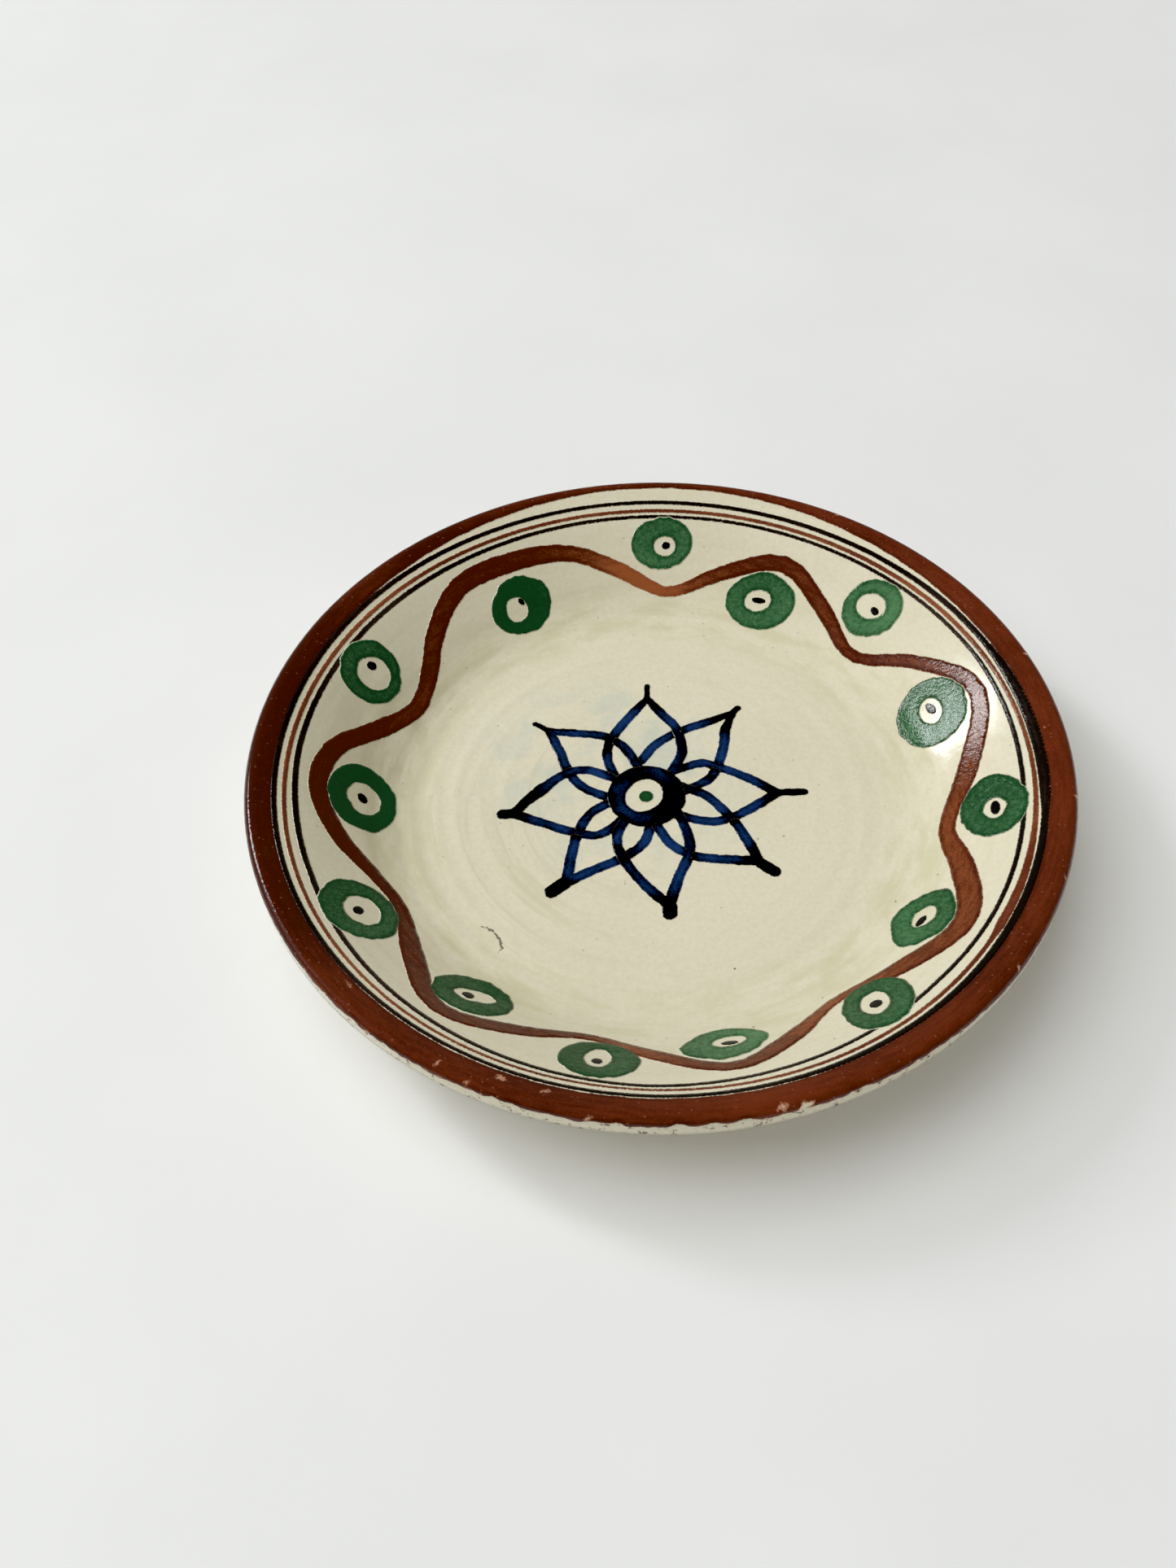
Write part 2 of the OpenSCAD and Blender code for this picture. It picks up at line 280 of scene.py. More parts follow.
def spun(name, outline, shape, *, around):
    """A closed piece spun from a [radius, height] outline in around steps. shape(r, z, a, k) moves the
    points of one step, at direction a in radians, with k numbering the outline's points."""
    on_axis = outline[0][0] < 1e-6
    ring = outline[1:-1] if on_axis else outline
    turns = np.linspace(0, 2 * math.pi, around, endpoint=False)
    numbers = np.arange(len(ring))
    rows = []
    for a in turns:
        r, z = shape(ring[:, 0], ring[:, 1], a, numbers)
        rows.append(np.stack([r * math.cos(a), r * math.sin(a), z], 1))
    points = np.concatenate(rows)
    size = len(ring)
    faces = []
    last = size - 1 if on_axis else size
    for i in range(around):
        here, there = i * size, (i + 1) % around * size
        for k in range(last):
            nxt = (k + 1) % size
            faces.append((here + k, there + k, there + nxt, here + nxt))
    if on_axis:
        first = len(points)
        ends = [np.mean(points[k::size], 0) * [0, 0, 1] for k in (0, size - 1)]
        points = np.vstack([points, ends])
        for i in range(around):
            here, there = i * size, (i + 1) % around * size
            faces.append((first, there, here))
            faces.append((first + 1, here + size - 1, there + size - 1))
    return make_piece(name, points, faces)


def eased_corners(outline, step):
    """A fine outline whose short facets are rounded off, for a turned form."""
    even = resampled(outline, step, False)
    for _ in range(3):
        even[1:-1] = 0.5 * even[1:-1] + 0.25 * (even[:-2] + even[2:])
    return even


def make_slip_inside(material):
    """The slip coat of the well and the lip."""
    show = inside_chain[: lip_low + 1]
    hide = inside_chain[lip_low + 1:]
    top_z, under_z = show[0][1], hide[-1][1]
    top = eased_corners(np.vstack([[HUB_R, top_z], show]), 1.15)
    under = resampled(hide, 3.5, False)
    outline = np.vstack([[[0, top_z]], top, under, [[HUB_R, under_z]], [[0, under_z]]])
    shown = len(top)
    lip_r = RIM_R - 4

    def shape(r, z, a, k):
        x, y = r * math.cos(a), r * math.sin(a)
        glazed = np.where(r < lip_r, glaze_z(x, y), z + relief(x, y))
        return r, np.where(k < shown, glazed, z)

    piece = spun("glazed_inside", outline, shape, around=540)
    place(piece, "slip_inside", material, "cream_slip_inside")


drip = waves(8, 7, 40, 160)


def make_slip_outside(material):
    """The slip coat of the outer wall, with the uneven lower edge that dipping leaves."""
    chain = turned_outline("cream_slip_outside")
    loop = resampled(chain, 1.6, True)
    low_z = chain[:, 1].min()
    uneven = 9
    slope = math.radians(33)

    def shape(r, z, a, k):
        lift = 2.6 + 2.4 * drip(RIM_R * math.cos(a), RIM_R * math.sin(a))
        lift = lift * smoothstep(low_z + uneven, low_z, z)
        return r + lift * math.cos(slope), z + lift * math.sin(slope)

    piece = spun("glazed_outside", loop, shape, around=360)
    place(piece, "slip_outside", material, "cream_slip_outside")


turning = waves(12, 6, 60, 180)


def make_clay_body(material):
    """The thrown and turned body, bare on its underside and foot ring."""
    chain = turned_outline("clay_body")
    top_z, under_z = chain[0][1], chain[-1][1]
    across = np.vstack([[[HUB_R, top_z]], chain, [[HUB_R, under_z]]])
    outline = np.vstack([[[0, top_z]], resampled(across, 1.3, False), [[0, under_z]]])

    def shape(r, z, a, k):
        # The foot's resting face and the wall under its slip stay as they are.
        bare = smoothstep(0.2, 2, z) * smoothstep(6, 4.4, z)
        grooves = 0.12 * np.sin(r * 1.7 + a) * smoothstep(0, 12, r)
        return r, z + bare * (grooves + 0.1 * turning(r * math.cos(a), r * math.sin(a)))

    piece = spun("thrown_body", outline, shape, around=300)
    place(piece, "clay", material, "clay_body")


# ---- brushed films ----

# How far a film's underside lies below the glaze, and how far its top sinks where it is worn away.
UNDERSIDE = 0.15
WORN_SINK = 0.09


def filled(loops, spacing, seed):
    """Fills closed loops with an even net of triangles. Returns flat points, triangles and a tree
    that finds the nearest point of the loops."""
    # Inner points keep off the loops. None is as far from them as the widest film is wide.
    keep_off = 0.55 * spacing
    widest = 12
    near = KDTree(sum(len(loop) for loop in loops))
    for i, p in enumerate(np.concatenate(loops)):
        near.insert((p[0], p[1], 0), i)
    near.balance()
    low = np.min([loop.min(0) for loop in loops], 0)
    high = np.max([loop.max(0) for loop in loops], 0)
    rows = np.arange(low[1], high[1], spacing * 0.87)
    draw = np.random.default_rng(seed)
    inner = []
    for j, y in enumerate(rows):
        x = np.arange(low[0] + spacing * (j % 2) / 2, high[0], spacing)
        jitter = draw.uniform(-0.12, 0.12, (len(x), 2)) * spacing
        inner.append(np.stack([x, np.full_like(x, y)], 1) + jitter)
    inner = np.concatenate(inner)
    reach = np.hypot(*np.concatenate(loops).T)
    radius = np.hypot(*inner.T)
    inner = inner[(radius > reach.min()) & (radius < reach.max())]
    gap = np.array([near.find((p[0], p[1], 0))[2] for p in inner])
    inner = inner[(gap > keep_off) & (gap < widest)]
    inner = inner[inside(inner, loops)]
    points, edges = [], []
    for loop in loops:
        start, count = len(points), len(loop)
        points += [Vector(p) for p in loop]
        edges += [(start + i, start + (i + 1) % count) for i in range(count)]
    points += [Vector(p) for p in inner]
    out, _, triangles, *_ = delaunay_2d_cdt(points, edges, [], 0, 1e-5)
    flat = np.array([(p[0], p[1]) for p in out])
    triangles = np.array(triangles)
    return flat, triangles[inside(flat[triangles].mean(1), loops)], near


def inside(points, loops):
    """Whether each point is inside an odd number of the loops."""
    result = np.zeros(len(points), bool)
    batch = 4000
    for loop in loops:
        x0, y0 = loop[:, 0], loop[:, 1]
        x1, y1 = np.roll(x0, -1), np.roll(y0, -1)
        for start in range(0, len(points), batch):
            part = points[start:start + batch]
            px, py = part[:, :1], part[:, 1:]
            spans = (y0 > py) != (y1 > py)
            rise = np.where(y1 == y0, 1e-9, y1 - y0)
            crossing = px < x0 + (py - y0) / rise * (x1 - x0)
            result[start:start + batch] ^= np.sum(spans & crossing, 1) % 2 == 1
    return result


def depth_inside(loops, points):
    """How far each point is inside the loops, and 0 for a point outside them."""
    depth = np.zeros(len(points))
    within = np.nonzero(inside(points, loops))[0]
    border = np.concatenate(loops)
    for i in within:
        depth[i] = np.min(np.hypot(border[:, 0] - points[i, 0], border[:, 1] - points[i, 1]))
    return depth


def brushed_loop(loop, step, grow, wobble, seed, extra=None):
    """A CAD outline redrawn as a brush leaves it: eased corners, grown a little, with a soft wobble.
    A short loop wobbles less."""
    loop = loop if signed_area(loop) > 0 else loop[::-1]
    even = relaxed(resampled(loop, step, True), 4)
    steady_length = 45
    wobble = wobble * min(1, len(even) * step / steady_length)
    unsteady = waves(seed, 14, 3, 12)
    push = grow + wobble * unsteady(even[:, 0], even[:, 1])
    if extra is not None:
        push = push + np.sign(grow) * extra(even[:, 0], even[:, 1])
    moved = even + push[:, None] * outward(even)
    # Points that a sharp corner pushed across to its other side are left out.
    gap = np.min(np.hypot(moved[:, :1] - even[:, 0], moved[:, 1:] - even[:, 1]), axis=1)
    return moved[gap > 0.85 * np.abs(push)]


def brushed_loops(node, spacing, seed, grow, wobble, extra=None):
    """A CAD node's outlines as a brush leaves them. The biggest outline comes first."""
    loops = []
    smallest = 1.2
    for i, loop in enumerate(sorted(top_outlines(node), key=lambda p: -abs(signed_area(p)))):
        if abs(signed_area(loop)) < smallest:
            continue
        hole = i > 0 and inside(loop[:1], loops[:1])[0]
        loops.append(brushed_loop(loop, 0.45 * spacing, -grow if hole else grow, wobble, seed + i, extra))
    return loops


def paint_height(thick, edge, worn=0):
    """How high paint stands above the glaze: thinner at its edge, and sunk where it is worn away."""
    full = thick * (0.3 + 0.7 * (1 - np.exp(-edge / 0.5)))
    return full * (1 - worn) - WORN_SINK * worn


def film_faces(triangles, count):
    """Faces of a closed film: its top, its underside count points on, and the wall between them."""
    rim, times = np.unique(sides(triangles), axis=0, return_counts=True)
    rim = set(map(tuple, rim[times == 1]))
    top = list(map(tuple, triangles))
    below = [tuple(t[::-1] + count) for t in triangles]
    walls = []
    for t in triangles:
        for a, b in ((t[0], t[1]), (t[1], t[2]), (t[2], t[0])):
            if (min(a, b), max(a, b)) in rim:
                walls.append((b, a, a + count, b + count))
    return top + below + walls


def make_film(node, slot, material, loops, *, thick, spacing, seed, load=None, others=()):
    """One brushed motif: a thin closed film on the glazed inside, thinning out to its edge.

    load(x, y) is how much pigment lies there; for the eyes it also holds painted shade and highlight.
    others are the loops of motifs in the same colour that this one runs into without an edge."""
    flat, triangles, near = filled(loops, spacing, seed)
    x, y = flat[:, 0], flat[:, 1]
    edge = np.array([near.find((p[0], p[1], 0))[2] for p in flat])
    for other in others:
        edge = np.maximum(edge, depth_inside(other, flat))
    ground = glaze_z(x, y)
    top = np.stack([x, y, ground + paint_height(thick, edge)], 1)
    below = np.stack([x, y, ground - UNDERSIDE], 1)
    faces = film_faces(triangles, len(flat))
    pigment = np.ones(len(flat)) if load is None else load(x, y)
    attributes = {"edge": np.tile(edge, 2), "load": np.tile(pigment, 2)}
    piece = make_piece(f"brushed_{node}", np.concatenate([top, below]), faces, attributes)
    place(piece, slot, material, node)


# ---- materials ----

# The specular level of every surface.
SHINE = 0.4


class Shader:
    """A short way to write a material's nodes."""

    def __init__(self, name):
        self.material = bpy.data.materials.new(name)
        self.material.use_nodes = True
        self.tree = self.material.node_tree
        self.surface = self.tree.nodes["Principled BSDF"]
        self.place = self.node("ShaderNodeTexCoord").outputs["Object"]

    def node(self, kind, inputs=None, **settings):
        made = self.tree.nodes.new(kind)
        for key, value in settings.items():
            setattr(made, key, value)
        for key, value in (inputs or {}).items():
            self.set(made, key, value)
        return made

    def set(self, made, key, value):
        """Links a socket, or sets a constant on the node's own socket."""
        if isinstance(value, bpy.types.NodeSocket):
            self.tree.links.new(value, made.inputs[key])
        else:
            made.inputs[key].default_value = value

    def noise(self, size, detail=3.0, rough=0.5, vector=None, warp=0.0):
        """Noise from 0 to 1 whose largest blots are about size mm."""
        inputs = {"Vector": vector or self.place, "Scale": 1 / (size * MM), "Detail": detail}
        inputs.update({"Roughness": rough, "Distortion": warp})
        return self.node("ShaderNodeTexNoise", inputs).outputs["Fac"]

    def attribute(self, name):
        return self.node("ShaderNodeAttribute", attribute_name=name).outputs["Fac"]

    def ramp(self, value, low, high, to_low=0.0, to_high=1.0):
        """Maps a value smoothly from low..high to the given limits."""
        inputs = {"Value": value, "From Min": low, "From Max": high, "To Min": to_low, "To Max": to_high}
        return self.node("ShaderNodeMapRange", inputs, interpolation_type="SMOOTHSTEP").outputs[0]

    def math(self, operation, a, b=0.0):
        return self.node("ShaderNodeMath", {0: a, 1: b}, operation=operation).outputs[0]

    def vector(self, operation, a, b=(0, 0, 0), scale=1.0):
        """Vector Math on a and b. It gives a vector, or a number where the operation measures one."""
        made = self.node("ShaderNodeVectorMath", {0: a, 1: b, 3: scale}, operation=operation)
        measures = operation in ("DISTANCE", "DOT_PRODUCT", "LENGTH")
        return made.outputs["Value" if measures else "Vector"]

    def mix(self, factor, a, b, blend="MIX"):
        made = self.node("ShaderNodeMix", data_type="RGBA", blend_type=blend)
        self.set(made, 0, factor)
        self.set(made, 6, (*a, 1) if isinstance(a, tuple) else a)
        self.set(made, 7, (*b, 1) if isinstance(b, tuple) else b)
        return made.outputs[2]

    def distance(self, x, y, z=0.0):
        """Distance in mm from a point of the frame."""
        return self.math("DIVIDE", self.vector("DISTANCE", self.place, (x * MM, y * MM, z * MM)), MM)

    def distance_to_line(self, start, end):
        """Distance in mm across the plate from the line between two [x, y] points, a little ragged."""
        origin = Vector((start[0], start[1], 0)) * MM
        run = Vector((end[0], end[1], 0)) * MM - origin
        grain = {"Vector": self.place, "Scale": 1 / (1.1 * MM)}
        jitter = self.node("ShaderNodeTexNoise", grain).outputs["Color"]
        jitter = self.vector("SUBTRACT", jitter, (0.5, 0.5, 0.5))
        moved = self.vector("ADD", self.place, self.vector("SCALE", jitter, scale=1.3 * MM))
        flat = self.vector("MULTIPLY", moved, (1, 1, 0))
        from_start = self.vector("SUBTRACT", flat, tuple(origin))
        share = self.vector("DOT_PRODUCT", from_start, tuple(run / run.length_squared))
        share = self.node("ShaderNodeClamp", {0: share}).outputs[0]
        along = self.vector("SCALE", tuple(run), scale=share)
        return self.math("DIVIDE", self.vector("DISTANCE", from_start, along), MM)

    def radius(self):
        """Distance in mm from the plate's axis."""
        flat = self.vector("MULTIPLY", self.place, (1, 1, 0))
        return self.math("DIVIDE", self.vector("LENGTH", flat), MM)

    def turns(self, scale):
        """Coordinates that run round the plate: along the rim, out from the axis and up, each scaled."""
        part = self.node("ShaderNodeSeparateXYZ", {0: self.place})
        angle = self.math("ARCTAN2", part.outputs[1], part.outputs[0])
        along = self.math("MULTIPLY", angle, RIM_R * MM)
        out = self.math("MULTIPLY", self.radius(), MM)
        ring = self.node("ShaderNodeCombineXYZ", {0: along, 1: out, 2: part.outputs[2]}).outputs[0]
        return self.node("ShaderNodeMapping", {"Vector": ring, "Scale": scale}).outputs[0]

    def finish(self, colour, roughness, height, depth):
        """Wires colour, roughness and a bump of the given depth in mm into the surface."""
        self.set(self.surface, "Specular IOR Level", SHINE)
        self.set(self.surface, "Base Color", colour)
        self.set(self.surface, "Roughness", roughness)
        inputs = {"Height": height, "Distance": depth * MM}
        self.set(self.surface, "Normal", self.node("ShaderNodeBump", inputs).outputs[0])
        return self.material


def slip_colour(sh):
    """Cream slip under clear glaze, with everything that shows through where a motif is thin."""
    cloudy = sh.noise(60, 2, 0.5)
    base = sh.mix(sh.ramp(cloudy, 0.3, 0.7), (0.785, 0.74, 0.585), (0.81, 0.765, 0.61))
    fine = sh.noise(1.6, 4, 0.7)
    base = sh.mix(sh.ramp(fine, 0.3, 0.75), base, sh.mix(1.0, base, (0.93, 0.915, 0.86), "MULTIPLY"))
    radius = sh.radius()
    # The glaze runs thicker and greener where the floor turns up into the wall.
    pool = sh.math("MULTIPLY", sh.ramp(radius, 66, 84), sh.ramp(radius, 104, 88))
    streak = sh.noise(9, 4, 0.6, vector=sh.turns((0.35, 1.6, 1)))
    pool = sh.math("MULTIPLY", pool, sh.ramp(streak, 0.38, 0.72))
    base = sh.mix(sh.math("MULTIPLY", pool, 0.75), base, (0.64, 0.61, 0.39))
    # Streaks of glaze that run round the plate, darkened and yellowed at the foot of the left wall as
    # painted shade on the side turned from the light.
    deep = sh.math("MULTIPLY", sh.ramp(sh.distance(-84, 12, 14), 62, 8), sh.ramp(radius, 76, 86))
    deep = sh.math("MULTIPLY", deep, sh.ramp(streak, 0.25, 0.62, 0.35, 1.0))
    base = sh.mix(sh.math("MULTIPLY", deep, 0.55), base, (0.47, 0.44, 0.29))
    # The thrower's finger left rings, plainest on the left of the well.
    wheel = sh.ramp(sh.noise(4.2, 3, 0.55, vector=sh.turns((0.03, 1.4, 0.2))), 0.5, 0.68)
    plain = sh.ramp(sh.distance(-62, -22, 10), 75, 20, 0.18, 0.62)
    base = sh.mix(sh.math("MULTIPLY", wheel, plain), base, (0.66, 0.61, 0.44))
    # Cobalt bled a pale blue-green haze into the slip round the flower.
    haze = sh.ramp(sh.distance(-16, 14, 10), 58, 16)
    haze = sh.math("MULTIPLY", haze, sh.ramp(sh.noise(17, 3, 0.55, warp=0.6), 0.42, 0.72))
    base = sh.mix(sh.math("MULTIPLY", haze, 0.5), base, (0.50, 0.59, 0.54))
    return base


# Corners of the short crack in the well, as [x, y] in mm, and the chip that lies on it.
CRACK = [[-53.2, -51.6], [-51.6, -52.2], [-49.4, -53.4], [-47.4, -56.2], [-46.2, -59.6], [-47.2, -60.6]]
CRACK_CHIP = [-50.6, -52.8]


def specks(sh, size, low, high):
    """Sparse small spots: 1 in a spot, 0 elsewhere."""
    spots = sh.node("ShaderNodeTexVoronoi", {"Vector": sh.place, "Scale": 1 / (size * MM)})
    near = sh.ramp(spots.outputs["Distance"], high, low)
    chosen = sh.node("ShaderNodeSeparateColor", {0: spots.outputs["Color"]}).outputs[0]
    return sh.math("MULTIPLY", near, sh.ramp(chosen, 0.74, 0.8))


def glaze_height(sh):
    """The glaze's own surface: a slight orange peel with fine wheel lines."""
    peel = sh.noise(2.6, 4, 0.6)
    lines = sh.noise(1.3, 3, 0.6, vector=sh.turns((0.05, 1.0, 0.3)))
    return sh.math("ADD", sh.math("MULTIPLY", peel, 0.6), sh.math("MULTIPLY", lines, 0.4))


def slip_material(name, outside):
    """Glazed cream slip. The outside carries more kiln dirt and handling than the inside."""
    sh = Shader(name)
    colour = slip_colour(sh)
    lower_right = sh.ramp(sh.distance(45, -62, 10), 75, 20, 0.35, 1.0)
    dots = sh.math("MULTIPLY", specks(sh, 4.2, 0.05, 0.12), lower_right)
    colour = sh.mix(sh.math("MULTIPLY", dots, 0.9), colour, (0.12, 0.10, 0.06))
    away = 100.0
    for start, end in zip(CRACK, CRACK[1:]):
        away = sh.math("MINIMUM", sh.distance_to_line(start, end), away)
    width = sh.ramp(sh.noise(1.4), 0.44, 0.58, 0.02, 0.34)
    crack = sh.ramp(sh.math("SUBTRACT", away, width), 0.1, 0.0)
    crack = sh.math("MAXIMUM", crack, sh.ramp(sh.distance(*CRACK_CHIP, 10), 0.75, 0.45))
    colour = sh.mix(sh.math("MULTIPLY", crack, 0.8), colour, (0.10, 0.085, 0.06))
    smudges = sh.math("MULTIPLY", sh.ramp(sh.noise(3, 5, 0.7), 0.6, 0.78), lower_right)
    colour = sh.mix(sh.math("MULTIPLY", smudges, 0.25), colour, (0.48, 0.46, 0.31))
    # The lip's outer face is stained with iron from the band above.
    face = sh.ramp(sh.radius(), RIM_R - 1.4, RIM_R - 0.5)
    stains = sh.ramp(sh.noise(2.4, 5, 0.75), 0.55, 0.64)
    colour = sh.mix(sh.math("MULTIPLY", face, stains), colour, (0.13, 0.055, 0.03))
    if outside:
        grime = sh.ramp(sh.noise(11, 5, 0.65), 0.42, 0.75, 0, 0.5)
        colour = sh.mix(grime, colour, (0.50, 0.42, 0.29))
    rough = sh.ramp(sh.noise(8, 4, 0.6), 0.3, 0.75, 0.09, 0.2)
    pits = sh.math("ADD", sh.math("MULTIPLY", dots, 0.8), sh.math("MULTIPLY", crack, 4.0))
    return sh.finish(colour, rough, sh.math("SUBTRACT", glaze_height(sh), pits), 0.05)


def clay_material():
    """Bare pinkish-buff clay with grog, turning lines and slip smears."""
    sh = Shader("bare_clay")
    grain = sh.noise(1.1, 5, 0.7)
    colour = sh.mix(sh.ramp(sh.noise(26, 4, 0.6), 0.3, 0.7), (0.44, 0.24, 0.15), (0.56, 0.34, 0.23))
    colour = sh.mix(sh.ramp(grain, 0.45, 0.7), colour, (0.38, 0.21, 0.13))
    grog = specks(sh, 2.2, 0.08, 0.2)
    colour = sh.mix(sh.math("MULTIPLY", grog, 0.7), colour, (0.66, 0.52, 0.40))
    smear = sh.ramp(sh.noise(19, 4, 0.6, warp=0.8), 0.6, 0.72)
    colour = sh.mix(sh.math("MULTIPLY", smear, 0.5), colour, (0.62, 0.55, 0.42))
    lines = sh.noise(1.2, 3, 0.6, vector=sh.turns((0.04, 1.0, 0.5)))
    height = sh.math("ADD", grain, lines)
    return sh.finish(colour, sh.ramp(grain, 0.3, 0.7, 0.72, 0.92), height, 0.16)


# Scales of the brush streaks of a stroke that runs round the plate.
ROUND = (0.3, 1.6, 1.0)


def paint_material(name, thin_colour, full_colour, *, feather, streak=ROUND, bumps=0.11, chips=False):
    """Brushed slip paint under the glaze. It thins to the slip's own colour over feather mm at its
    edge, and its load runs from thin_colour to full_colour in brush streaks. bumps is how deep the
    glaze's own unevenness is, in mm, and chips lets the paint's wear show."""
    sh = Shader(name)
    ground = slip_colour(sh)
    streaks = sh.noise(2.2, 4, 0.65, vector=sh.turns(streak))
    grain = sh.noise(0.7, 3, 0.6)
    amount = sh.math("ADD", sh.attribute("load"), sh.ramp(streaks, 0.3, 0.7, -0.14, 0.14))
    amount = sh.math("ADD", amount, sh.ramp(grain, 0.3, 0.7, -0.12, 0.12))
    # Slip paint gathers in a darker line just inside its edge.
    edge = sh.attribute("edge")
    gathered = sh.math("MULTIPLY", sh.ramp(edge, 0.2, 0.7), sh.ramp(edge, 1.8, 0.8))
    amount = sh.math("ADD", amount, sh.math("MULTIPLY", gathered, 0.22))
    paint = sh.mix(sh.ramp(amount, 0.1, 1.1), thin_colour, full_colour)
    ragged = sh.math("ADD", edge, sh.ramp(grain, 0.3, 0.7, -0.12, 0.12))
    colour = sh.mix(sh.ramp(ragged, 0.0, feather), ground, paint)
    if chips:
        pinholes = sh.math("MULTIPLY", specks(sh, 1.5, 0.08, 0.3), 0.45)
        colour = sh.mix(pinholes, colour, (0.34, 0.14, 0.08))
        worn = sh.math("ADD", sh.attribute("worn"), sh.ramp(grain, 0.3, 0.7, -0.2, 0.2))
        colour = sh.mix(sh.ramp(worn, 0.15, 0.5), colour, (0.50, 0.25, 0.16))
        colour = sh.mix(sh.ramp(worn, 0.5, 0.85), colour, ground)
    rough = sh.ramp(sh.noise(5, 4, 0.6), 0.3, 0.75, 0.07, 0.17)
    height = sh.math("ADD", glaze_height(sh), sh.math("MULTIPLY", sh.noise(1.1, 3, 0.6), 0.7))
    return sh.finish(colour, rough, height, bumps)


# ---- the motifs ----

hand = waves(21, 8, 30, 120)


def flat_load(level, swing=0.15):
    """An even load of pigment with a slow swing."""
    return lambda x, y: level + swing * hand(x, y)


# Places where the band is worn or knocked, as [direction, mm outward from the lip's top, half its
# size round the rim in degrees, half its size across in mm, how deep from 0 to 1].
CHIPS = [
    [251.1, -4.3, 1.2, 0.9, 0.5], [257, -4.3, 0.8, 0.8, 0.42], [247.5, 1.4, 0.6, 0.6, 0.5],
    [242.8, -0.4, 0.5, 1.1, 0.42], [225.6, -4.7, 0.9, 0.5, 0.42], [262.8, 1.6, 0.5, 0.7, 0.5],
    [285.6, 1, 0.6, 0.9, 0.6], [288.3, 2.2, 1, 1.2, 1], [322.1, 1.6, 0.3, 0.5, 0.8],
    [5, -4.5, 0.3, 0.2, 0.4], [59.7, 0.6, 0.5, 0.7, 0.4], [338, 1.8, 0.2, 0.5, 0.6],
    [352, 1.6, 0.15, 0.9, 0.8], [19, 0.9, 0.12, 0.5, 0.7],
]
knocks = waves(31, 22, 1.5, 7)


def band_wear(a, out, x, y):
    """How far the rim band is worn through to the slip, from 0 to 1, out mm past the lip's top."""
    ragged = knocks(x + 1.3 * out, y - 1.3 * out)
    worn = 0.6 * smoothstep(2.8, 3.8, out + 0.7 * ragged) * bump(turn_between(a, 255), 0, 60)
    for direction, middle, long, wide, deep in CHIPS:
        near = np.hypot(turn_between(a, direction) / long, (out - middle) / wide)
        worn = np.maximum(worn, deep * smoothstep(1.15, 0.7, near + 0.3 * ragged))
    return np.clip(worn, 0, 1)


def wave_load(x, y):
    """The wavy band's brush ran dry near the far side and at two troughs near the viewer."""
    a = np.degrees(np.arctan2(y, x))
    dry = 0.9 * bump(turn_between(a, 93), 0, 9) + 0.35 * bump(turn_between(a, 265), 0, 12)
    dry = dry + 0.4 * bump(turn_between(a, 303), 0, 10) + 0.25 * bump(turn_between(a, 345), 0, 30)
    return 0.85 + 0.2 * bump(turn_between(a, 175), 0, 60) - dry + 0.1 * hand(x, y)


def blue_load(names, centre):
    """Cobalt lies heaviest where two strokes cross, at the ring and along the petals' tails."""
    outlines = {name: resampled(np.concatenate(top_outlines(name)), 0.5, False) for name in names}

    def for_node(name):
        others = np.concatenate([loop for key, loop in outlines.items() if key != name])
        tree = KDTree(len(others))
        for i, p in enumerate(others):
            tree.insert((p[0], p[1], 0), i)
        tree.balance()

        def load(x, y):
            gap = np.array([tree.find((u, v, 0))[2] for u, v in zip(x, y)])
            out = np.hypot(x - centre[0], y - centre[1])
            tail = smoothstep(37, 44, out + 2 * hand(3 * x, 3 * y))
            base = 1.0 if name == "flower_ring" else 0.5
            rest = bump(np.hypot(x + 40, y - 2), 0, 6)
            crossed = 0.45 * smoothstep(2.6, 0.6, gap)
            return base + crossed + 0.9 * np.maximum(tail, rest) + 0.3 * hand(4 * x, 4 * y)

        return load

    return for_node


# How heavily each eye's green was laid on, counted anticlockwise from +X, with painted shade and
# highlight: the eyes on the shaded left wall are loaded darker and those under the far right's reflections
# lighter.
EYE_LOADS_AND_SHADE = [0.75, 0.8, 0.6, 0.65, 0.55, 0.8, 1.0, 0.95, 0.9, 0.85, 0.8, 0.6, 0.75, 0.75]


def ring_faces(around, size):
    """Faces of a closed ring from around rows of size points, first the top's and then the underside's."""
    count = size * around
    last = size - 1
    faces = []
    for i in range(around):
        here, there = i * size, (i + 1) % around * size
        for k in range(last):
            face = (here + k, there + k, there + k + 1, here + k + 1)
            faces.append(face[::-1])
            faces.append(tuple(count + n for n in face))
        faces.append((here, there, there + count, here + count))
        faces.append((there + last, here + last, here + last + count, there + last + count))
    return faces


